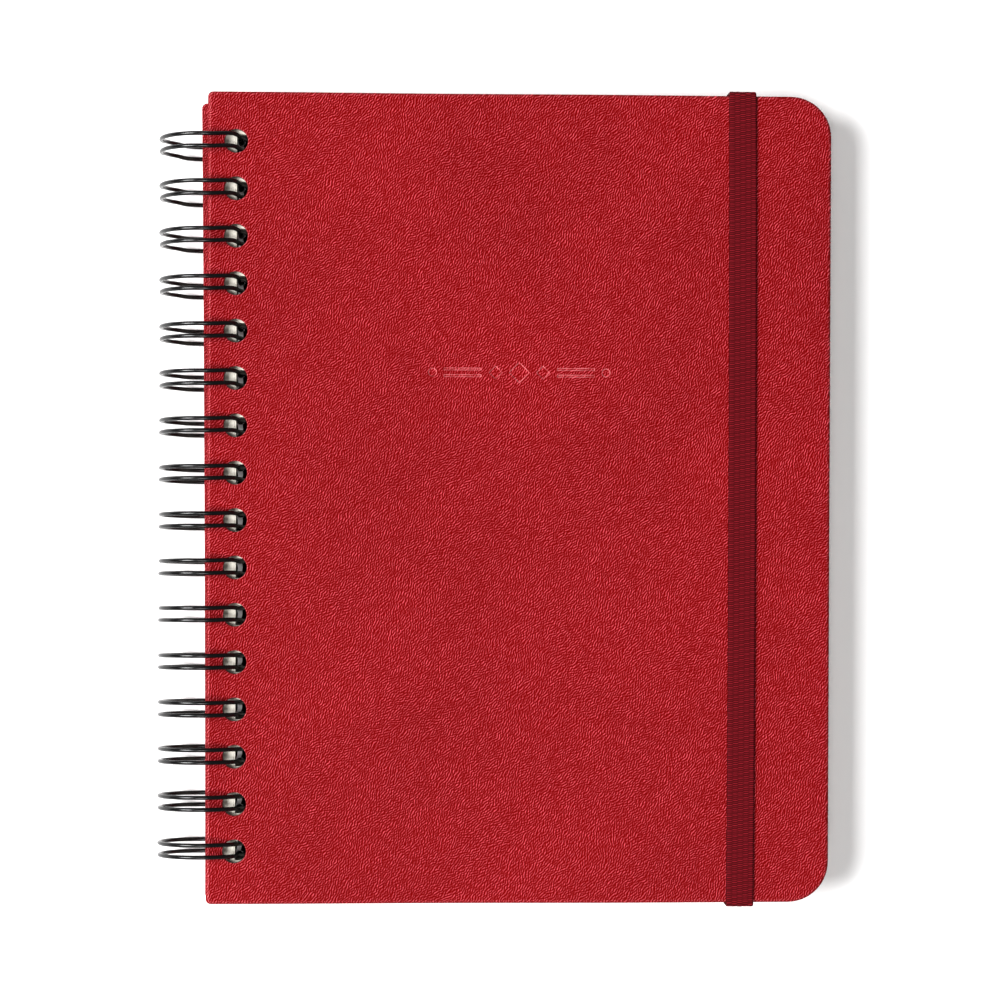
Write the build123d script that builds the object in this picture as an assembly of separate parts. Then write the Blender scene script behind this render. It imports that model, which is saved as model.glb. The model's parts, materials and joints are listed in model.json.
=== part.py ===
from build123d import *
import math
import os

os.makedirs("parts", exist_ok=True)

# A hardcover planner bound with black twin-loop wire and held shut by a flat elastic strap.
# +X runs from the spine to the fore edge, +Y to the top edge and +Z out of the front cover.
# The origin is the middle of the bounding box, at table level. All sizes are in mm.
# Heights and spine distances below are counted from the ring axis, which is parallel to Y.

# twin-loop wire
loop_count = 16
loop_pitch = 12.7
wire_diameter = 1.15
ring_outer_radius = 12.0
leg_spread = 3.3  # between the centres of a loop's two legs
elbow_radius = 1.2
seam_angle = -30.0  # where the legs leave the crossbars
hairpin_angle = 309.0  # where the legs close into the hairpin tip
cut_end_length = 2.4

# covers
cover_width = 168.2
cover_height = 218.0
# how far each cover's spine corners stand off a true rectangle: (bottom x, y), (top x, y)
front_spine_corners = ((0.0, -0.5), (0.0, 0.2))
back_spine_corners = ((0.75, -1.15), (-0.75, -1.15))
spine_corner_radius = 1.4
fore_corner_radius = 11.0
cover_edge_rounding = 1.0
skin_thickness = 0.3
board_thickness = 1.5
turn_in_thickness = 0.2
turn_in_width = 14.0
endpaper_thickness = 0.2
endpaper_margin = 3.5
hole_radius = 3.15
hole_to_spine_edge = 7.67
front_hole_x = 9.24
front_hole_pitch = 12.74  # the closed loops sit a little closer together than this
front_hole_shift = 0.34  # of the front cover's holes towards the top edge, against the loops
front_outer_z = 7.4
back_hole_x = 7.25
back_outer_z = -9.6

# page sections, counted from the front
section_count = 12
stack_top = 5.15
stack_bottom = -6.15
section_gap = 0.04
page_height = 212.5
page_fore_edge = 166.3
page_corner_radius = 8.0
page_spine_corner_radius = 1.0
page_hole_size = (4.0, 5.5)
page_hole_left = 9.3  # left edge of the first section's holes
page_hole_to_spine_edge = 4.0
stack_slant = 0.6  # how far the last section stands towards the spine, against the first

# elastic strap
strap_width = 7.4
strap_thickness = 0.9
strap_to_fore_edge = 23.9
strap_overhang = 1.1  # beyond the top and bottom edges of the covers
strap_clearance = 0.05
strap_bend_radius = 0.6
slot_to_edge = 4.25
slot_width = 1.1
slot_length = 7.8
tail_length = 16.0

# derived places
wire_radius = wire_diameter / 2
ring_radius = ring_outer_radius - wire_radius
first_loop_y = -(loop_count - 1) * loop_pitch / 2
loop_ys = [first_loop_y + i * loop_pitch for i in range(loop_count)]
front_hole_ys = [y * front_hole_pitch / loop_pitch + front_hole_shift for y in loop_ys]
front_spine_x = front_hole_x - hole_to_spine_edge
back_spine_x = back_hole_x - hole_to_spine_edge
axis_x = (ring_outer_radius - front_spine_x - cover_width) / 2
axis_z = ring_outer_radius
to_frame = Pos(axis_x, 0, axis_z)


def save(shape, node):
    export_step(to_frame * shape, f"parts/{node}.step")


def plate(spine_x, fore_x, height, spine_radius, fore_radius, z0, z1, spine_corners=None):
    """A flat sheet with rounded corners, its spine corners moved by spine_corners if given."""
    half = height / 2
    (low_x, low_y), (high_x, high_y) = spine_corners or ((0, 0), (0, 0))
    corners = [
        (spine_x + low_x, -half + low_y),
        (fore_x, -half),
        (fore_x, half),
        (spine_x + high_x, half + high_y),
    ]
    face = Polygon(*corners, align=None)
    face = fillet(face.vertices().sort_by(Axis.X)[:2], spine_radius)
    face = fillet(face.vertices().sort_by(Axis.X)[-2:], fore_radius)
    return extrude(Pos(0, 0, min(z0, z1)) * face, abs(z1 - z0))


def block(x0, x1, y0, y1, z0, z1):
    size = (x1 - x0, y1 - y0, abs(z1 - z0))
    return Pos((x0 + x1) / 2, (y0 + y1) / 2, (z0 + z1) / 2) * Box(*size)


# ---- twin-loop wire ----


def ring_point(angle, y, past=0.0):
    """A point of the wire's centre line, and further along the ring's tangent by past."""
    a = math.radians(angle)
    x = ring_radius * math.cos(a) - past * math.sin(a)
    z = ring_radius * math.sin(a) + past * math.cos(a)
    return Vector(x, y, z)


def leg(y, start, end):
    return ThreePointArc(ring_point(start, y), ring_point((start + end) / 2, y), ring_point(end, y))


def elbow(leg_y, side):
    """The quarter turn between a leg and the crossbar on the given side of it."""
    bend = elbow_radius
    near = bend * (1 - math.cos(math.pi / 4))
    far = bend * math.sin(math.pi / 4)
    on_bar = ring_point(seam_angle, leg_y + side * bend, -bend)
    middle = ring_point(seam_angle, leg_y + side * near, -far)
    return ThreePointArc(on_bar, middle, ring_point(seam_angle, leg_y))


def twin_loop(y):
    """Elbow, leg, hairpin tip, leg and elbow of one loop."""
    half = leg_spread / 2
    tip = ring_point(hairpin_angle, y, half)
    first = ring_point(hairpin_angle, y - half)
    second = ring_point(hairpin_angle, y + half)
    return [
        elbow(y - half, -1),
        leg(y - half, seam_angle, hairpin_angle),
        ThreePointArc(first, tip, second),
        leg(y + half, hairpin_angle, seam_angle),
        elbow(y + half, 1),
    ]


def wire_binding():
    reach = leg_spread / 2 + elbow_radius
    bar = ring_point(seam_angle, 0, -elbow_radius)

    def on_bar(y):
        return Vector(bar.X, y, bar.Z)

    edges = [Line(on_bar(loop_ys[0] - reach - cut_end_length), on_bar(loop_ys[0] - reach))]
    for i, y in enumerate(loop_ys):
        edges += twin_loop(y)
        if i < loop_count - 1:
            bar_end = loop_ys[i + 1] - reach
        else:
            bar_end = y + reach + cut_end_length
        edges.append(Line(on_bar(y + reach), on_bar(bar_end)))
    path = Wire(edges)
    start = on_bar(loop_ys[0] - reach - cut_end_length)
    section = Plane(origin=start, z_dir=(0, 1, 0)) * Circle(wire_radius)
    return sweep(section, path)


# ---- covers ----


def binding_holes(x, ys, z0, z1):
    cutter = Cylinder(hole_radius, abs(z1 - z0) + 2)
    return [Pos(x, y, (z0 + z1) / 2) * cutter for y in ys]


def cover(spine_x, spine_corners, hole_x, hole_ys, outer_z, inward):
    """Board, leatherette skin with its turn-ins, and endpaper, from the outside inwards.

    inward is -1 for the front cover, whose inside faces down, and 1 for the back cover."""
    fore_x = spine_x + cover_width
    board_outer = outer_z + inward * skin_thickness
    board_inner = board_outer + inward * board_thickness
    flange_inner = board_inner + inward * turn_in_thickness
    paper_inner = flange_inner + inward * endpaper_thickness

    def inset_plate(inset, z0, z1):
        spine_radius = max(spine_corner_radius - inset, 0.6)
        fore_radius = max(fore_corner_radius - inset, 2.0)
        height = cover_height - 2 * inset
        ends = (spine_x + inset, fore_x - inset)
        return plate(*ends, height, spine_radius, fore_radius, z0, z1, spine_corners)

    def round_outer_rim(shape, radius):
        rims = shape.edges().group_by(Axis.Z)
        return fillet(rims[-1] if inward < 0 else rims[0], radius)

    board = inset_plate(skin_thickness, board_outer, board_inner)
    board = round_outer_rim(board, cover_edge_rounding - skin_thickness)
    whole = inset_plate(0, outer_z, flange_inner)
    whole = round_outer_rim(whole, cover_edge_rounding)
    window = inset_plate(turn_in_width, board_inner, flange_inner)
    skin = whole - board - window
    paper = inset_plate(endpaper_margin, flange_inner, paper_inner) + window
    holes = binding_holes(hole_x, hole_ys, outer_z, paper_inner)
    return board - holes, skin - holes, paper - holes


def page_section(index):
    pitch = (stack_top - stack_bottom + section_gap) / section_count
    top = stack_top - index * pitch
    bottom = top - pitch + section_gap
    lean = stack_slant * index / (section_count - 1)
    hole_left = page_hole_left - lean
    spine_x = hole_left - page_hole_to_spine_edge
    fore_x = page_fore_edge - lean
    leaves = plate(
        spine_x, fore_x, page_height, page_spine_corner_radius, page_corner_radius, bottom, top
    )
    wide, tall = page_hole_size
    punch = Box(wide, tall, 4)
    middle = hole_left + wide / 2
    return leaves - [Pos(middle, y, (top + bottom) / 2) * punch for y in loop_ys]


# ---- elastic strap ----

strap_x = front_spine_x + cover_width - strap_to_fore_edge
half_strap = strap_thickness / 2
strap_front_z = front_outer_z + strap_clearance + half_strap
strap_back_z = back_outer_z - strap_clearance - half_strap
strap_edge_y = cover_height / 2 + strap_overhang - half_strap
slot_y = cover_height / 2 - slot_to_edge
back_board_inner = back_outer_z + skin_thickness + board_thickness
tail_z = back_board_inner - strap_clearance - half_strap
tail_pocket_depth = strap_thickness + 2 * strap_clearance


def elastic_strap():
    """One flat elastic: glued tail, slot, round the edge, over the front, and the same back."""
    half_route = [
        (slot_y - tail_length, tail_z),
        (slot_y, tail_z),
        (slot_y, strap_back_z),
        (strap_edge_y, strap_back_z),
        (strap_edge_y, strap_front_z),
    ]
    route = half_route + [(-y, z) for y, z in reversed(half_route)]
    path = FilletPolyline(*[(strap_x, y, z) for y, z in route], radius=strap_bend_radius)
    start = Plane(origin=(strap_x, *route[0]), x_dir=(1, 0, 0), z_dir=(0, 1, 0))
    return sweep(start * Rectangle(strap_width, strap_thickness), path)


def strap_slots():
    """Through slots near both ends of the back cover, and the pockets for the glued tails."""
    x0 = strap_x - slot_length / 2
    x1 = strap_x + slot_length / 2
    pocket_bottom = back_board_inner - tail_pocket_depth
    cuts = []
    for side in (-1, 1):
        slot_ys = sorted((side * (slot_y - slot_width / 2), side * (slot_y + slot_width / 2)))
        tail_ys = sorted((side * (slot_y - tail_length - 0.5), side * (slot_y + slot_width / 2)))
        cuts.append(block(x0, x1, *slot_ys, back_outer_z - 1, back_board_inner))
        cuts.append(block(x0, x1, *tail_ys, pocket_bottom, back_board_inner))
    return cuts


front_board, front_skin, front_paper = cover(
    front_spine_x, front_spine_corners, front_hole_x, front_hole_ys, front_outer_z, -1
)
back_board, back_skin, back_paper = cover(
    back_spine_x, back_spine_corners, back_hole_x, loop_ys, back_outer_z, 1
)
slots = strap_slots()

save(wire_binding(), "wire_binding")
save(front_board, "front_board")
save(front_skin, "front_cover_skin")
save(front_paper, "front_endpaper")
save(back_board - slots, "back_board")
save(back_skin - slots, "back_cover_skin")
save(back_paper, "back_endpaper")
save(elastic_strap(), "elastic_strap")
for index in range(section_count):
    save(page_section(index), f"month_section_{index + 1:02d}")
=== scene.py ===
import json
import math
import random

import bpy
from mathutils import Euler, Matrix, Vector
from mathutils.geometry import delaunay_2d_cdt


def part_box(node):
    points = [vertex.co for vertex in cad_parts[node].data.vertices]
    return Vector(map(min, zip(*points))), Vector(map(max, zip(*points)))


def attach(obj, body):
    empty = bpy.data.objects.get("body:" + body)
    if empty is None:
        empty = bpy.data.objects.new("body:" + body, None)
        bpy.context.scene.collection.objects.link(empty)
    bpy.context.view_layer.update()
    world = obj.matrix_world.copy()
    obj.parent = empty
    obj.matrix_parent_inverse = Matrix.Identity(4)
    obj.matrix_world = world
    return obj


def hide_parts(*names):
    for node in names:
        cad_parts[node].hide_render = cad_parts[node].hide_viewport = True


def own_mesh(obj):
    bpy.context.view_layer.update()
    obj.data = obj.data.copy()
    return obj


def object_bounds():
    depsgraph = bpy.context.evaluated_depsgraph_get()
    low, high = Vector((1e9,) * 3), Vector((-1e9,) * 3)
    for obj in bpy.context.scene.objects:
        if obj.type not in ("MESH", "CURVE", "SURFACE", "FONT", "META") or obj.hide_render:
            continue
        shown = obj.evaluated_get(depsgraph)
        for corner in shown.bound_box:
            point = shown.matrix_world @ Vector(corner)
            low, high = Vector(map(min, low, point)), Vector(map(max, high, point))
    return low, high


# A red hardcover planner, bound with black twin-loop wire and held shut by a flat elastic strap.
# Pieces are drawn in millimetres from the ring axis, which runs along Y, and saved in metres.

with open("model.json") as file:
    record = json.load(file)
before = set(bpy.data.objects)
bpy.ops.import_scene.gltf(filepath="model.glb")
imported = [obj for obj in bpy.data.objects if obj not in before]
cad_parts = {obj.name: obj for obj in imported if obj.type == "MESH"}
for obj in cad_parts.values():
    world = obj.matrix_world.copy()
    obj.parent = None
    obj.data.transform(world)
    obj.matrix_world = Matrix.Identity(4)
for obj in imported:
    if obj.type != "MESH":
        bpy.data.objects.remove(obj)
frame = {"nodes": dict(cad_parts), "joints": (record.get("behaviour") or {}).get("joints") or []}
cad_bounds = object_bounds()

MM = 0.001
hinge = next(j for j in frame["joints"] if j["name"] == "front_cover_hinge")
AXIS = Vector(hinge["pos_m"]) / MM


def node_box(node):
    """Lowest and highest corner of a CAD node, in mm from the ring axis."""
    low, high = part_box(node)
    return low / MM - AXIS, high / MM - AXIS


# sizes that a bounding box doesn't give, in mm
loop_count = 16
loop_pitch = 12.7
wire_radius = 0.575
ring_radius = 11.425
leg_spread = 3.3
elbow_radius = 1.2
seam_angle = -30.0
hairpin_angle = 309.0
cut_end_length = 2.4
loop_lean = 2.8  # degrees; the tops of the rings stand this much towards +Y
cover_width = 168.2
cover_height = 218.0
front_spine_corners = ((0.0, -0.5), (0.0, 0.2))  # off a true rectangle, bottom and top
back_spine_corners = ((0.75, -1.15), (-0.75, -1.15))
spine_corner = 1.4
fore_corner = 11.0
cover_rounding = 1.0
skin = 0.3
board_depth = 1.8  # from the outer face to the board's inner face
cover_depth = 2.0  # from the outer face to the turn-in's inner face
turn_in = 14.0
turn_in_fillet = 0.26
hole_radius = 3.15
hole_to_spine_edge = 7.67
front_hole_x = 9.24
back_hole_x = 7.25
front_hole_pitch = 12.74
front_hole_shift = 0.34
opened_hole_z = -6.3  # of the front cover's holes once it lies open; their x is -front_hole_x
press_depth = 0.22
press_slope = 0.24  # how far the pressed walls lean in
page_hole = (4.0, 5.5)
page_hole_margin = 4.0
page_corner = 8.0
page_spine_corner = 1.0
section_count = 12
leaves_per_section = 8
leaf_share = 0.86  # of a leaf's pitch that is paper, the rest being the gap
leaf_scatter = (0.10, 0.14)
first_leaf_shift = -0.45
rule_pitch = 7.1
rule_width = 0.22
hole_shade_reach = 14.0  # from the ring axis: how far the painted shade beside the holes reaches on the endpapers
strap_width = 7.4
strap_half = 0.45
strap_bend = 0.6
slot_to_edge = 4.25
slot_size = (7.8, 1.1)
tail_length = 16.0
rib_pitch = 0.57
rib_depth = 0.11
rib_columns = 5

loop_ys = [(i - (loop_count - 1) / 2) * loop_pitch for i in range(loop_count)]
front_hole_ys = [y * front_hole_pitch / loop_pitch + front_hole_shift for y in loop_ys]


# ---- mesh helpers ----


class Shell:
    """Faces drawn in mm from the ring axis; points in the same place are one vertex."""

    def __init__(self):
        self.points = []
        self.faces = []
        self.materials = []
        self.known = {}

    def corner(self, point):
        key = tuple(round(c, 3) for c in point)
        if key not in self.known:
            self.known[key] = len(self.points)
            self.points.append(tuple(point))
        return self.known[key]

    def face(self, corners, material=0):
        ids = []
        for point in corners:
            i = self.corner(point)
            if i not in ids:
                ids.append(i)
        if len(ids) > 2:
            self.faces.append(ids)
            self.materials.append(material)

    def band(self, loop_a, loop_b, closed=True, material=0):
        """Quads between two rows of points with the same count."""
        count = len(loop_a)
        for i in range(count if closed else count - 1):
            j = (i + 1) % count
            self.face((loop_a[i], loop_a[j], loop_b[j], loop_b[i]), material)

    def plane(self, outline, holes, z, up, material=0):
        """A flat region at height z with holes in it, facing up or down."""
        for triangle in region(outline, holes):
            corners = [(x, y, z) for x, y in triangle]
            self.face(corners if up else corners[::-1], material)

    def wrap(self, rows, sides):
        """Quads round a tube whose points are already in rows of sides, and its flat ends."""
        for i in range(rows - 1):
            for k in range(sides):
                j = (k + 1) % sides
                a, b = i * sides, (i + 1) * sides
                self.faces.append([a + k, a + j, b + j, b + k])
        self.faces.append(list(range(sides))[::-1])
        self.faces.append([(rows - 1) * sides + k for k in range(sides)])
        self.materials = [0] * len(self.faces)

    def piece(self, name, materials, smooth_angle=35.0):
        mesh = bpy.data.meshes.new(name)
        place = [((Vector(p) + AXIS) * MM)[:] for p in self.points]
        mesh.from_pydata(place, [], self.faces)
        for material in materials:
            mesh.materials.append(material)
        mesh.polygons.foreach_set("material_index", self.materials)
        mesh.polygons.foreach_set("use_smooth", [True] * len(self.faces))
        mesh.set_sharp_from_angle(angle=math.radians(smooth_angle))
        mesh.update()
        piece = bpy.data.objects.new(name, mesh)
        bpy.context.scene.collection.objects.link(piece)
        return piece


def inside(x, y, loop):
    """Whether a point lies within a closed loop."""
    odd = False
    for (x0, y0), (x1, y1) in zip(loop, loop[1:] + loop[:1]):
        if (y0 > y) != (y1 > y) and x < x0 + (y - y0) * (x1 - x0) / (y1 - y0):
            odd = not odd
    return odd


def region(outline, holes):
    """Triangles, counter-clockwise, that fill an outline around its holes."""
    loops = [outline] + holes
    points = [p for loop in loops for p in loop]
    edges = []
    for loop in loops:
        first = len(edges)
        edges += [(first + i, first + (i + 1) % len(loop)) for i in range(len(loop))]
    found = delaunay_2d_cdt([Vector(p) for p in points], edges, [], 1, 1e-5)
    origin = [points[ids[0]] for ids in found[3]]
    boxes = []
    for loop in holes:
        xs, ys = zip(*loop)
        boxes.append((min(xs), max(xs), min(ys), max(ys), loop))
    triangles = []
    for ids in found[2]:
        corners = [origin[i] for i in ids]
        x = sum(p[0] for p in corners) / 3
        y = sum(p[1] for p in corners) / 3
        if any(a < x < b and c < y < d and inside(x, y, loop) for a, b, c, d, loop in boxes):
            continue
        (ax, ay), (bx, by), (cx, cy) = corners
        if (bx - ax) * (cy - ay) - (by - ay) * (cx - ax) < 0:
            corners.reverse()
        triangles.append(corners)
    return triangles


def outline(low, high, spine_r, fore_r, inset=0.0, sides=24, wave=0.0, moved=((0, 0), (0, 0)),
            bow=0.0):
    """The edge of a sheet, counter-clockwise and drawn in by inset, with rounded corners.

    low and high are opposite corners. sides is how many parts a straight side has, and wave is
    how uneven the top and bottom sides are. moved shifts the bottom and top corners of the
    spine, and bow draws the middle of the spine side in."""
    loop = []
    spine_steps, fore_steps = 5, 14
    corners = (
        (low[0] + moved[0][0], low[1] + moved[0][1], 1, 1, spine_r, 180, spine_steps),
        (high[0], low[1], -1, 1, fore_r, 270, fore_steps),
        (high[0], high[1], -1, -1, fore_r, 0, fore_steps),
        (low[0] + moved[1][0], high[1] + moved[1][1], 1, -1, spine_r, 90, spine_steps),
    )
    for x, y, toward_x, toward_y, radius, start, steps in corners:
        small = max(radius - inset, 0.25)
        cx = x + toward_x * (inset + small)
        cy = y + toward_y * (inset + small)
        arc = []
        for i in range(steps + 1):
            a = math.radians(start + 90 * i / steps)
            arc.append((cx + small * math.cos(a), cy + small * math.sin(a)))
        if loop:
            loop += between(loop[-1], arc[0], sides)
        loop += arc
    spine_side = between(loop[-1], loop[0], sides)
    for i, (x, y) in enumerate(spine_side):
        loop.append((x + bow * math.sin(math.pi * (i + 1) / sides) ** 0.7, y))
    if wave:
        loop = [(x, y + wave * math.sin(x * 0.061 + (1 if y > 0 else 4))) for x, y in loop]
    return loop


def between(a, b, parts):
    """The points that divide the line from a to b into equal parts, without its ends."""
    return [(a[0] + (b[0] - a[0]) * i / parts, a[1] + (b[1] - a[1]) * i / parts)
            for i in range(1, parts)]


def circle(x, y, radius, steps=40):
    turns = [2 * math.pi * i / steps for i in range(steps)]
    return [(x + radius * math.cos(a), y + radius * math.sin(a)) for a in turns]


def at_height(loop, z):
    return [(x, y, z) for x, y in loop]


def rim_bend(radius, offset=0.0):
    """Inset and depth of the points round a cover's rim, from its upright side to its face."""
    steps = 7
    turns = [math.pi / 2 * i / steps for i in range(steps + 1)]
    return [(offset + radius * (1 - math.cos(a)), offset + radius * (1 - math.sin(a)))
            for a in turns]


# ---- materials ----


class Finish:
    """A material whose colour, roughness and bump come from nodes, with positions in mm."""

    def __init__(self, name):
        self.material = bpy.data.materials.new(name)
        self.material.use_nodes = True
        self.tree = self.material.node_tree
        self.shader = self.tree.nodes["Principled BSDF"]
        coords = self.add("ShaderNodeTexCoord")
        scaled = self.add("ShaderNodeVectorMath", {0: coords.outputs["Object"]},
                          operation="SCALE")
        scaled.inputs["Scale"].default_value = 1 / MM
        self.mm = scaled.outputs["Vector"]
        self.normal = coords.outputs["Normal"]

    def add(self, kind, values=None, **settings):
        node = self.tree.nodes.new(kind)
        for key, value in settings.items():
            setattr(node, key, value)
        for key, value in (values or {}).items():
            self.put(node.inputs[key], value)
        return node

    def put(self, socket, value):
        if isinstance(value, bpy.types.NodeSocket):
            self.tree.links.new(value, socket)
        else:
            socket.default_value = value

    def math(self, operation, a, b=None):
        values = {0: a}
        if b is not None:
            values[1] = b
        return self.add("ShaderNodeMath", values, operation=operation).outputs[0]

    def split(self, vector):
        return self.add("ShaderNodeSeparateXYZ", {0: vector}).outputs

    def product(self, *factors):
        total = factors[0]
        for factor in factors[1:]:
            total = self.math("MULTIPLY", total, factor)
        return total

    def noise(self, per_mm, detail=2.0, rough=0.5, stretch=None):
        where = self.mm
        if stretch:
            where = self.add("ShaderNodeMapping", {"Vector": where, "Scale": stretch}).outputs[0]
        values = {"Vector": where, "Scale": per_mm, "Detail": detail, "Roughness": rough}
        return self.add("ShaderNodeTexNoise", values).outputs[0]

    def span(self, value, low, high, to_low=0.0, to_high=1.0, smooth=False):
        """value carried from the range low to high onto the range to_low to to_high."""
        values = {"Value": value, "From Min": low, "From Max": high}
        values.update({"To Min": to_low, "To Max": to_high})
        kind = "SMOOTHSTEP" if smooth else "LINEAR"
        return self.add("ShaderNodeMapRange", values, interpolation_type=kind).outputs[0]

    def mix(self, share, a, b, blend="MIX"):
        node = self.add("ShaderNodeMix", data_type="RGBA", blend_type=blend)
        for index, value in ((0, share), (6, a), (7, b)):  # factor, A and B of a colour mix
            self.put(node.inputs[index], value)
        return node.outputs[2]

    def bump(self, height, depth):
        """A bump whose height of 1 stands depth mm proud."""
        values = {"Height": height, "Distance": depth * MM, "Strength": 1.0}
        return self.add("ShaderNodeBump", values).outputs[0]

    def set(self, **values):
        """Sets the shader's sockets, named with _ for spaces, and returns the material."""
        for key, value in values.items():
            self.put(self.shader.inputs[key.replace("_", " ")], value)
        return self.material


def colour(red, green, blue):
    """A colour from display values between 0 and 255."""
    levels = [((c / 255 + 0.055) / 1.055) ** 2.4 if c > 10 else c / 255 / 12.92
              for c in (red, green, blue)]
    return (*levels, 1.0)


def leatherette(name, depth, rubbed):
    """Embossed red leatherette: short ridges about 0.8 mm apart, slanting one way.

    depth is the bump in mm. Rims that face the light get a painted pale highlight, and the last
    argument is how strong the painted pale highlight on the steep walls of pressed marks is."""
    f = Finish(name)
    grain_angle = math.radians(-35.0)
    angle = f.math("ADD", f.span(f.noise(0.06, 2.0), 0.3, 0.7, -0.3, 0.3), grain_angle)
    x, y, z = f.split(f.mm)
    slant = f.math("MULTIPLY", z, 0.9)  # carries the grain round onto the upright edges
    place = f.add("ShaderNodeCombineXYZ", {0: f.math("ADD", x, slant), 1: f.math("ADD", y, slant)})
    grain = f.add("ShaderNodeTexGabor", {"Vector": place.outputs[0], "Scale": 0.85,
                                         "Frequency": 1.8, "Anisotropy": 0.6, 4: angle})
    ridge = f.span(grain.outputs["Value"], 0.43, 0.74, smooth=True)
    uneven = f.noise(0.7, 3.0)
    pores = f.noise(9.0, 2.0)

    # colour: dark valleys and pale crests, the grain's own tone with painted shade in the valleys
    # and painted highlights on the crests
    grown = f.math("MULTIPLY", ridge, f.span(uneven, 0.3, 0.7, 0.76, 1.04))
    height = f.math("ADD", grown, f.math("MULTIPLY", pores, 0.18))
    valley, crest = colour(117, 0, 0), colour(209, 89, 101)
    tone = f.mix(f.math("POWER", grown, 1.15), valley, crest)

    # painted highlight: rims facing the key light at -X are paled; flat is 1 where the surface
    # faces straight up or down
    toward_x, _, toward_z = f.split(f.normal)
    flat = f.math("ABSOLUTE", toward_z)
    rim_highlight = f.product(f.span(flat, 0.998, 0.975), f.span(flat, 0.80, 0.93),
                     f.span(ridge, 0.0, 1.0, 0.12, 0.85),
                     f.span(toward_x, 0.02, -0.12, 0.25, 1.0))
    tone = f.mix(rim_highlight, tone, colour(222, 128, 134))
    # painted highlight: the steep walls of pressed marks are paled, as light catching them would
    steep = f.product(f.span(flat, 0.95, 0.85), f.span(uneven, 0.35, 0.6, 0.3, 1.0), rubbed)
    tone = f.mix(steep, tone, colour(230, 150, 155))

    # broad, faint patches
    patch = f.span(f.noise(0.03, 3.0), 0.3, 0.7, 0.94, 1.05)
    grey = f.add("ShaderNodeCombineColor", {0: patch, 1: patch, 2: patch}).outputs[0]
    tone = f.mix(1.0, tone, grey, "MULTIPLY")
    return f.set(Base_Color=tone, Roughness=f.span(pores, 0.3, 0.7, 0.30, 0.42),
                 Normal=f.bump(height, depth), Specular_IOR_Level=0.02)


def board_finish():
    """Grey-brown binder's board with short fibres."""
    f = Finish("cover_board")
    fibre = f.noise(2.2, 4.0, 0.6, stretch=(1.0, 1.0, 4.0))
    tone = f.mix(f.span(fibre, 0.3, 0.7), colour(128, 120, 112), colour(186, 177, 168))
    return f.set(Base_Color=tone, Roughness=f.span(fibre, 0.3, 0.7, 0.8, 0.95),
                 Normal=f.bump(fibre, 0.08), Specular_IOR_Level=0.2)


def paper_finish(name, light, dark, ruled=False, hole_shade=False, face=1.0):
    """Uncoated paper with faint fibres.

    Leaves are ruled, and endpapers get a dark painted shade in a band along the holes. face
    scales the colour of the flat faces: painted shade that dims the well-lit faces against the cut
    edges, which get less light."""
    f = Finish(name)
    fibre = f.noise(1.3, 5.0, 0.65)
    cloud = f.noise(0.09, 2.0)
    tone = f.mix(f.span(fibre, 0.25, 0.75), dark, light)
    tone = f.mix(f.span(cloud, 0.3, 0.7, 0.0, 0.25), tone, dark)
    # painted shade: flat faces are dimmed by face, so well-lit faces look no paler than the cut
    # edges, which get less light
    flat = f.math("GREATER_THAN", f.math("ABSOLUTE", f.split(f.normal)[2]), 0.8)
    tone = f.mix(flat, tone, (face, face, face, 1.0), "MULTIPLY")
    x, y, _ = f.split(f.mm)
    if hole_shade:
        # painted shade: endpaper beside the holes darkened, standing for the shade deep in the
        # holes
        near_holes = f.math("LESS_THAN", x, AXIS.x + hole_shade_reach)
        tone = f.mix(near_holes, tone, colour(52, 49, 47))
    if ruled:
        left, right, top, bottom = 14.0, 7.0, 16.0, 10.0  # margins
        above_zero = f.math("ADD", y, 700.0)
        step = f.math("MODULO", above_zero, rule_pitch)
        line = f.product(f.math("LESS_THAN", step, rule_width),
                         f.math("GREATER_THAN", x, page_low.x + AXIS.x + left),
                         f.math("LESS_THAN", x, page_high.x + AXIS.x - right),
                         f.math("LESS_THAN", y, page_high.y - top),
                         f.math("GREATER_THAN", y, page_low.y + bottom), flat, 0.8)
        tone = f.mix(line, tone, colour(104, 112, 128))
    return f.set(Base_Color=tone, Roughness=f.span(fibre, 0.3, 0.7, 0.78, 0.9),
                 Normal=f.bump(fibre, 0.02), Specular_IOR_Level=0.25)


def wire_finish():
    """Black nylon-coated steel wire, a little rubbed."""
    f = Finish("black_wire")
    cloud = f.noise(0.8, 3.0)
    fine = f.noise(7.0, 2.0)
    tone = f.mix(f.span(cloud, 0.35, 0.75), colour(6, 6, 7), colour(16, 15, 16))
    return f.set(Base_Color=tone, Roughness=f.span(fine, 0.3, 0.7, 0.16, 0.26),
                 Normal=f.bump(fine, 0.01), Specular_IOR_Level=0.6)


def elastic_finish():
    """Dark red woven elastic, with painted shade darkening the threads deep between the ribs and
    the rounded edges.
    """
    f = Finish("elastic")
    lift = f.add("ShaderNodeAttribute", attribute_name="lift").outputs["Fac"]
    thread = f.noise(3.2, 3.0, 0.6, stretch=(4.0, 1.0, 1.0))
    cloud = f.noise(0.25, 2.0)
    # painted shade: darker where the threads lie low between the ribs and on the rounded edges
    tone = f.mix(f.span(lift, 0.1, 0.95, smooth=True), colour(70, 0, 6), colour(150, 34, 49))
    tone = f.mix(f.span(thread, 0.35, 0.7, 0.0, 0.4), tone, colour(84, 2, 10))
    tone = f.mix(f.span(cloud, 0.3, 0.7, 0.0, 0.15), tone, colour(78, 2, 9))
    return f.set(Base_Color=tone, Roughness=f.span(thread, 0.3, 0.7, 0.65, 0.85),
                 Normal=f.bump(thread, 0.05), Specular_IOR_Level=0.12,
                 Sheen_Weight=0.04, Sheen_Roughness=0.4)


page_low, page_high = node_box("month_section_01")
red_leatherette = leatherette("red_leatherette", 0.13, 0.0)
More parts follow.
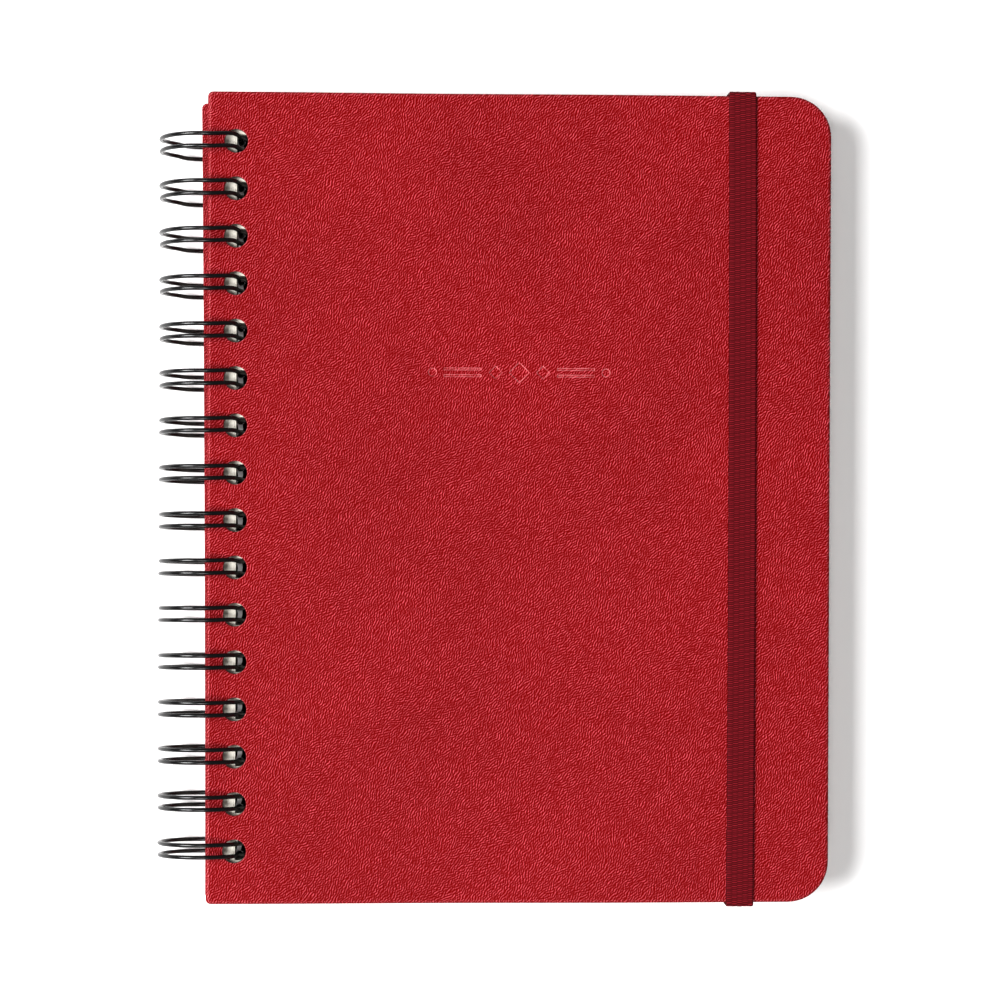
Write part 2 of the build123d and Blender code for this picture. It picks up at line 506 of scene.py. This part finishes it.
# pressed marks: shallower grain, and a painted pale highlight on their steep walls
pressed_leatherette = leatherette("pressed_leatherette", 0.05, 0.55)
board_material = board_finish()
endpaper_material = paper_finish("endpaper", colour(244, 241, 232), colour(232, 227, 215),
                                 hole_shade=True, face=0.62)
# the first month's leaves, seen in shade through the cover's holes, keep undimmed faces, paler
# than the painted-dimmed faces of the other leaves
first_page_material = paper_finish("first_page_paper", colour(230, 227, 218),
                                   colour(216, 212, 201))
page_material = paper_finish("page_paper", colour(232, 228, 218), colour(218, 213, 201),
                             ruled=True, face=0.62)
wire_material = wire_finish()
elastic_material = elastic_finish()


# ---- covers ----


def ornament():
    """Closed loops of the pressed ornament: lozenges, double rules and end dots."""

    def lozenge(x, half):
        return [(x - half, 0), (x, -half), (x + half, 0), (x, half)]

    def rule(x0, x1, y, half):
        return [(x0, y - half), (x1, y - half), (x1, y + half), (x0, y + half)]

    shapes = [lozenge(0, 2.9)]
    for side in (-1, 1):
        shapes.append(lozenge(side * 6.4, 1.9))
        for across in (-0.9, 0.9):
            shapes.append(rule(*sorted((side * 10.2, side * 20.4)), across, 0.38))
        shapes.append(circle(side * 23.4, 0, 1.2, 20))
    return shapes


def shrink(loop, amount):
    """A convex loop drawn in by amount."""
    count = len(loop)
    lines = []
    for i in range(count):
        (x0, y0), (x1, y1) = loop[i], loop[(i + 1) % count]
        length = math.hypot(x1 - x0, y1 - y0)
        nx, ny = -(y1 - y0) / length, (x1 - x0) / length
        lines.append((nx, ny, nx * x0 + ny * y0 + amount))
    inner = []
    for i in range(count):
        a, b = lines[i - 1], lines[i]
        det = a[0] * b[1] - a[1] * b[0]
        inner.append(((a[2] * b[1] - b[2] * a[1]) / det, (a[0] * b[2] - b[0] * a[2]) / det))
    return inner


def cover_skin(name, node, outward, hole_x, hole_ys, moved, bow, pressed=(), slots=()):
    """The leatherette: outer sheet, wrapped edges and turn-in, as one closed skin.

    outward is 1 for the front cover, whose outer face looks up, and -1 for the back one."""
    box_low, box_high = node_box(node)
    outer = box_high.z if outward > 0 else box_low.z
    spine_x = hole_x - hole_to_spine_edge
    low, high = (spine_x, -cover_height / 2), (spine_x + cover_width, cover_height / 2)
    shell = Shell()

    def z(depth):
        return outer - outward * depth

    def edge(inset):
        return outline(low, high, spine_corner, fore_corner, inset, 24, 0.05, moved, bow)

    def ring(inset, depth):
        return at_height(edge(inset), z(depth))

    def join(a, b, material=0):
        shell.band(*((a, b) if outward > 0 else (b, a)), material=material)

    def holes(radius):
        return [circle(hole_x, y, radius) for y in hole_ys]

    # rounded rim, upright side and the fold onto the inside
    profile = rim_bend(cover_rounding)[::-1]
    profile += [(0.0, 1.7), (0.03, 1.86), (0.12, 1.97), (turn_in_fillet, cover_depth)]
    support = cover_rounding + 0.35
    rows = [ring(support, 0)] + [ring(inset, depth) for inset, depth in profile]
    for upper, lower in zip(rows, rows[1:]):
        join(lower, upper)

    # outer sheet, with the pressed-in rims of its holes and the pressed marks
    rim_steps = [(hole_radius + 0.47, 0.0), (hole_radius + 0.22, 0.0), (hole_radius + 0.09, 0.04),
                 (hole_radius + 0.02, 0.12), (hole_radius, skin)]
    grounds = [shrink(shape, -0.2) for shape in pressed]
    cuts = holes(rim_steps[0][0]) + grounds + list(slots)
    shell.plane(edge(support), cuts, z(0), outward > 0)
    for y in hole_ys:
        rows = [at_height(circle(hole_x, y, r), z(d)) for r, d in rim_steps]
        for upper, lower in zip(rows, rows[1:]):
            join(upper, lower)
    for shape, ground in zip(pressed, grounds):
        bottom = at_height(shrink(shape, press_slope), z(press_depth))
        join(at_height(ground, z(0)), at_height(shape, z(0)))
        join(at_height(shape, z(0)), bottom, 1)
        shell.face(bottom if outward > 0 else bottom[::-1], 1)
    for slot in slots:
        join(at_height(slot, z(0)), at_height(slot, z(skin)))

    # underside of the outer sheet, board pocket and turn-in
    pocket = [(skin, board_depth)] + rim_bend(cover_rounding - skin, skin)
    rows = [ring(inset, depth) for inset, depth in pocket]
    for outer_row, inner_row in zip(rows, rows[1:]):
        join(outer_row, inner_row)
    shell.plane(edge(cover_rounding), holes(hole_radius) + list(slots), z(skin), outward < 0)
    inner_edge = edge(turn_in)
    cuts = holes(hole_radius) + [inner_edge]
    shell.plane(edge(skin), cuts, z(board_depth), outward > 0)
    shell.plane(edge(turn_in_fillet), cuts, z(cover_depth), outward < 0)
    join(at_height(inner_edge, z(board_depth)), at_height(inner_edge, z(cover_depth)))
    for y in hole_ys:
        hole = circle(hole_x, y, hole_radius)
        join(at_height(hole, z(board_depth)), at_height(hole, z(cover_depth)))

    piece = shell.piece(name, [red_leatherette, pressed_leatherette])
    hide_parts(node)
    return piece


strap_low, strap_high = node_box("elastic_strap")
strap_x = (strap_low.x + strap_high.x) / 2
slot_y = cover_height / 2 - slot_to_edge

ornament_x = front_hole_x - hole_to_spine_edge + 84.0  # from the cover's spine edge
ornament_y = cover_height / 2 - 75.0  # down from its top edge
marks = [[(ornament_x + x, ornament_y + y) for x, y in shape] for shape in ornament()]
slot_loops = []
for side in (-1, 1):
    half_x, half_y = slot_size[0] / 2, slot_size[1] / 2
    slot_loops.append([(strap_x + sx * half_x, side * slot_y + sy * half_y)
                       for sx, sy in ((-1, -1), (1, -1), (1, 1), (-1, 1))])

front_skin = cover_skin("front_leatherette", "front_cover_skin", 1, front_hole_x,
                        front_hole_ys, front_spine_corners, 0.0, pressed=marks)
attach(front_skin, "front_cover")
back_skin = cover_skin("back_leatherette", "back_cover_skin", -1, back_hole_x,
                       loop_ys, back_spine_corners, 0.25, slots=slot_loops)
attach(back_skin, "back_cover")

for node, material, slot in (
    ("front_board", board_material, "cover_board"),
    ("back_board", board_material, "cover_board"),
    ("front_endpaper", endpaper_material, "endpaper"),
    ("back_endpaper", endpaper_material, "endpaper"),
):
    cad = frame["nodes"][node]
    cad.data.materials.clear()
    cad.data.materials.append(material)


# ---- leaves ----


def leaf_shape(low, high):
    """Outline and punched holes of one leaf."""
    edge = outline(low, high, page_spine_corner, page_corner, sides=2)
    left = low.x + page_hole_margin
    wide, tall = page_hole
    holes = []
    for y in loop_ys:
        holes.append([(left, y - tall / 2), (left + wide, y - tall / 2),
                      (left + wide, y + tall / 2), (left, y + tall / 2)])
    return edge, holes


def section(index, draw):
    """One month: eight leaves, each a sheet of its own, a little out of line."""
    node = f"month_section_{index:02d}"
    low, high = node_box(node)
    edge, holes = leaf_shape(low, high)
    triangles = region(edge, holes)
    pitch = (high.z - low.z) / leaves_per_section
    thickness = pitch * leaf_share
    whole = Shell()
    for leaf in range(leaves_per_section):
        dx, dy = [draw.uniform(-limit, limit) for limit in leaf_scatter]
        if index == 1 and leaf == leaves_per_section - 1:
            dx = first_leaf_shift
        bottom = low.z + leaf * pitch
        top = bottom + thickness
        shell = Shell()
        for corners in triangles:
            shell.face([(x + dx, y + dy, top) for x, y in corners])
            shell.face([(x + dx, y + dy, bottom) for x, y in reversed(corners)])
        for loop in [edge] + [hole[::-1] for hole in holes]:
            moved = [(x + dx, y + dy) for x, y in loop]
            shell.band(at_height(moved, bottom), at_height(moved, top))
        first = len(whole.points)
        whole.points += shell.points
        whole.faces += [[first + i for i in face] for face in shell.faces]
    whole.materials = [0] * len(whole.faces)
    material = first_page_material if index == 1 else page_material
    piece = whole.piece(f"month_leaves_{index:02d}", [material])
    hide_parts(node)
    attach(piece, f"month_{index:02d}")


scatter = random.Random(7)
for month in range(1, section_count + 1):
    section(month, scatter)


# ---- twin-loop wire ----


def ring_point(angle, y, past=0.0):
    """A point of the wire's centre line, and further along the ring's tangent by past."""
    a = math.radians(angle)
    return Vector((ring_radius * math.cos(a) - past * math.sin(a), y,
                   ring_radius * math.sin(a) + past * math.cos(a)))


def ease(share):
    """A smooth step from 0 to 1."""
    share = min(max(share, 0.0), 1.0)
    return share * share * (3 - 2 * share)


def settled(point):
    """The wire as it really sits: leaning, with each loop a little different."""
    x, y, z = point
    lean = math.sin(math.radians(loop_lean))
    swell = 1 + 0.006 * math.sin(0.53 * y + 0.7)
    shift = 0.07 * math.sin(0.37 * y + 1.3)
    near_hole = ease((x - 2) / 7) * ease((z - 5) / 2.5)
    pull = 0.3 * (1 + y / loop_ys[-1]) * near_hole
    # the opened front cover's holes stand a little higher than the loops that they meet
    to_opened = math.hypot(x + front_hole_x, z - opened_hole_z)
    pull += 0.36 * max(0.0, y / loop_ys[-1]) * ease(1.6 - to_opened / 3.5)
    return Vector((x * swell, y + z * lean + shift + pull, z * swell if z > 0 else z))


def wire_path():
    """The wire's centre line from end to end: crossbars, elbows, legs and hairpin tips."""
    elbow_steps, leg_steps, tip_steps = 6, 56, 12
    points = []

    def elbow(centre, start_arm, end_arm):
        for i in range(1, elbow_steps + 1):
            a = math.pi / 2 * i / elbow_steps
            points.append(centre + start_arm * math.cos(a) + end_arm * math.sin(a))

    def leg(y, start, end):
        for i in range(1, leg_steps + 1):
            points.append(ring_point(start + (end - start) * i / leg_steps, y))

    tangent = ring_point(seam_angle, 0, -1) - ring_point(seam_angle, 0)
    along = Vector((0, 1, 0))
    half = leg_spread / 2
    reach = half + elbow_radius
    bar = ring_point(seam_angle, 0, -elbow_radius)
    points.append(Vector((bar.x, loop_ys[0] - reach - cut_end_length, bar.z)))
    for y in loop_ys:
        points.append(Vector((bar.x, y - reach, bar.z)))
        centre = Vector((bar.x, y - reach, bar.z)) - tangent * elbow_radius
        elbow(centre, tangent * elbow_radius, along * elbow_radius)
        leg(y - half, seam_angle, hairpin_angle)
        for i in range(1, tip_steps + 1):
            a = math.pi * i / tip_steps
            past = half * math.sin(a)
            points.append(ring_point(hairpin_angle, y - half * math.cos(a), past))
        leg(y + half, hairpin_angle, seam_angle)
        centre = ring_point(seam_angle, y + half) + along * elbow_radius
        elbow(centre, -along * elbow_radius, tangent * elbow_radius)
    points.append(Vector((bar.x, loop_ys[-1] + reach + cut_end_length, bar.z)))
    return [settled(p) for p in points]


def tube(name, path, radius, material, sides=14):
    """A round tube along a path with flat ends, its rings turned as little as possible."""
    shell = Shell()
    count = len(path)
    rows = []
    up = Vector((0, 0, 1))
    for i, point in enumerate(path):
        ahead = (path[min(i + 1, count - 1)] - path[max(i - 1, 0)]).normalized()
        up = (up - ahead * up.dot(ahead)).normalized()
        side = ahead.cross(up)
        ring = []
        for k in range(sides):
            a = 2 * math.pi * k / sides
            ring.append(point + (up * math.cos(a) + side * math.sin(a)) * radius)
        rows.append(ring)
    shell.points = [tuple(p) for ring in rows for p in ring]
    shell.wrap(count, sides)
    return shell.piece(name, [material], 60.0)


wire = tube("twin_loop_wire", wire_path(), wire_radius, wire_material)
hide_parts("wire_binding")
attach(wire, "back_cover")


# ---- elastic strap ----

run_front = strap_high.z - strap_half
run_back = strap_low.z + strap_half
leg_y = strap_high.y - strap_half
tail_z = node_box("back_cover_skin")[0].z + board_depth - 0.05 - strap_half


def strap_route(corners, step):
    """Points every step along a route in the YZ plane, with its corners rounded."""
    bend_steps = 8
    rounded = [Vector(corners[0])]
    for before, here, after in zip(corners, corners[1:], corners[2:]):
        before, here, after = Vector(before), Vector(here), Vector(after)
        arm_in = (before - here).normalized() * strap_bend
        arm_out = (after - here).normalized() * strap_bend
        centre = here + arm_in + arm_out
        for i in range(bend_steps + 1):
            a = math.pi / 2 * i / bend_steps
            rounded.append(centre - arm_out * math.cos(a) - arm_in * math.sin(a))
    rounded.append(Vector(corners[-1]))
    route, spare = [rounded[0]], 0.0
    for a, b in zip(rounded, rounded[1:]):
        length = (b - a).length
        reached = step - spare
        while reached <= length:
            route.append(a + (b - a) * reached / length)
            reached += step
        spare = length - (reached - step)
    if (route[-1] - rounded[-1]).length > step * 0.3:
        route.append(rounded[-1])
    return route


def weave(along, across):
    """How far the threads stand, from 0 to 1, at a place on the strap."""
    column = (across / strap_width + 0.5) * rib_columns
    number = min(int(column), rib_columns - 1)
    gap = abs(math.sin(math.pi * column)) ** 0.3
    bow = 0.10 * math.sin(0.9 * across + 0.05 * along)
    turn = along / rib_pitch + 0.37 * number + bow
    rib = 0.5 + 0.5 * math.cos(2 * math.pi * turn)
    uneven = 0.8 + 0.2 * math.sin(3.7 * round(turn) + 2.1 * number)
    return gap * rib * uneven + (1 - gap) * 0.25


def strap_piece(name, corners, body, rows_per_rib=4):
    """A length of the flat elastic along corners, given as (y, z), ribbed on both faces."""
    step = rib_pitch / rows_per_rib
    route = strap_route(corners, step)
    columns = 36
    woven_edge = 0.42  # over which the thickness rounds off
    section_points = [(-1 + 2 * k / columns, 1) for k in range(columns + 1)]
    section_points += [(1 - 2 * k / columns, -1) for k in range(columns + 1)]
    shell = Shell()
    shade_heights = []
    count = len(route)
    half_width = strap_width / 2
    for i, point in enumerate(route):
        ahead = (route[min(i + 1, count - 1)] - route[max(i - 1, 0)]).normalized()
        normal = Vector((-ahead.y, ahead.x))
        along = i * step
        for u, face in section_points:
            across = u * half_width
            lift = weave(along, across)
            edge = min(1.0, (1 - abs(u)) * half_width / woven_edge)
            round_off = math.sqrt(max(0.0, 1 - (1 - edge) ** 2))
            thick = (strap_half - rib_depth * (1 - lift)) * max(round_off, 0.22)
            waver = 0.05 * math.sin(along * 0.9 + 1.7 * (u > 0))
            sway = (-0.25 if point.x > 0 else -0.2) * abs(point.x / slot_y) ** 3
            where = point + normal * thick * face
            x = strap_x + sway + across + waver * abs(u) ** 3
            shell.points.append((x, where.x, where.y))
            # height for the painted shade, lowered on the rounded edges
            shade_heights.append(lift * (0.5 + 0.5 * round_off))
    shell.wrap(count, len(section_points))
    piece = shell.piece(name, [elastic_material], 80.0)
    attribute = piece.data.attributes.new("lift", "FLOAT", "POINT")
    attribute.data.foreach_set("value", shade_heights)
    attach(piece, body)
    return piece


bend_z = run_front - strap_bend - 0.1
run = strap_piece(
    "strap_front_run",
    [(-leg_y, bend_z), (-leg_y, run_front), (leg_y, run_front), (leg_y, bend_z)],
    "strap",
)
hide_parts("elastic_strap")
# behind the back cover the run reaches only from slot to slot, and the legs close up
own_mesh(run)
for side, end in ((1, "top"), (-1, "bottom")):
    leg = strap_piece(
        f"strap_leg_{end}",
        [(side * slot_y, run_back), (side * leg_y, run_back), (side * leg_y, bend_z + 0.05)],
        "back_cover",
    )
    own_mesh(leg)
    strap_piece(
        f"strap_tail_{end}",
        [(side * (slot_y - tail_length), tail_z), (side * slot_y, tail_z),
         (side * slot_y, run_back + 0.3)],
        "back_cover",
        rows_per_rib=1,
    )


# ---- floor, light and camera ----


def floor_finish():
    """Plain white floor, hardly uneven."""
    f = Finish("floor")
    cloud = f.noise(0.004, 2.0)
    tone = f.mix(f.span(cloud, 0.3, 0.7), (0.92, 0.92, 0.92, 1), (0.94, 0.94, 0.94, 1))
    return f.set(Base_Color=tone, Roughness=0.9, Specular_IOR_Level=0.1)


floor_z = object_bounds()[0].z / MM - AXIS.z
floor_shell = Shell()
floor_reach = 4000.0
floor_corners = ((-1, -1), (1, -1), (1, 1), (-1, 1))
floor_shell.face([(x * floor_reach, y * floor_reach, floor_z) for x, y in floor_corners])
floor = floor_shell.piece("floor", [floor_finish()])

middle = (cad_bounds[0] + cad_bounds[1]) / 2


def soft_light(name, azimuth, elevation, distance, size, size_y, power):
    """An area light that looks at the object, azimuth counted from +X towards +Y.

    Angles are in degrees, lengths in metres and the power in watts."""
    a, e = math.radians(azimuth), math.radians(elevation)
    toward = Vector((math.cos(a) * math.cos(e), math.sin(a) * math.cos(e), math.sin(e)))
    data = bpy.data.lights.new(name, "AREA")
    data.shape = "RECTANGLE"
    data.size, data.size_y, data.energy = size, size_y, power
    lamp = bpy.data.objects.new(name, data)
    lamp.location = middle + toward * distance
    lamp.rotation_euler = toward.to_track_quat("Z", "Y").to_euler()
    bpy.context.scene.collection.objects.link(lamp)


soft_light("key_left", 178, 52, 2.4, 1.2, 1.17, 82.0)
soft_light("fill_front", 270, 69, 3.0, 1.1, 0.8, 35.5)

world = bpy.data.worlds.new("studio")
world.use_nodes = True
background = world.node_tree.nodes["Background"]
background.inputs["Color"].default_value = (1.0, 1.0, 1.0, 1.0)
background.inputs["Strength"].default_value = 0.2
scene = bpy.context.scene
scene.world = world
scene.view_settings.view_transform = "Standard"
scene.view_settings.look = "None"
scene.view_settings.exposure = 0.2
scene.view_settings.gamma = 0.82

camera_data = bpy.data.cameras.new("camera")
camera_data.lens = 100.2
camera_data.sensor_width = 36.0
camera_data.clip_start = 0.05
camera_data.clip_end = 20.0
camera = bpy.data.objects.new("camera", camera_data)
camera_place = Vector((60.175, 4.52, 757.4))  # almost straight above, mm from the ring axis
camera_turn = (-0.379, -1.55, 0.22)  # degrees
camera.location = (AXIS + camera_place) * MM
camera.rotation_euler = Euler([math.radians(a) for a in camera_turn], "XYZ")
scene.collection.objects.link(camera)
scene.camera = camera
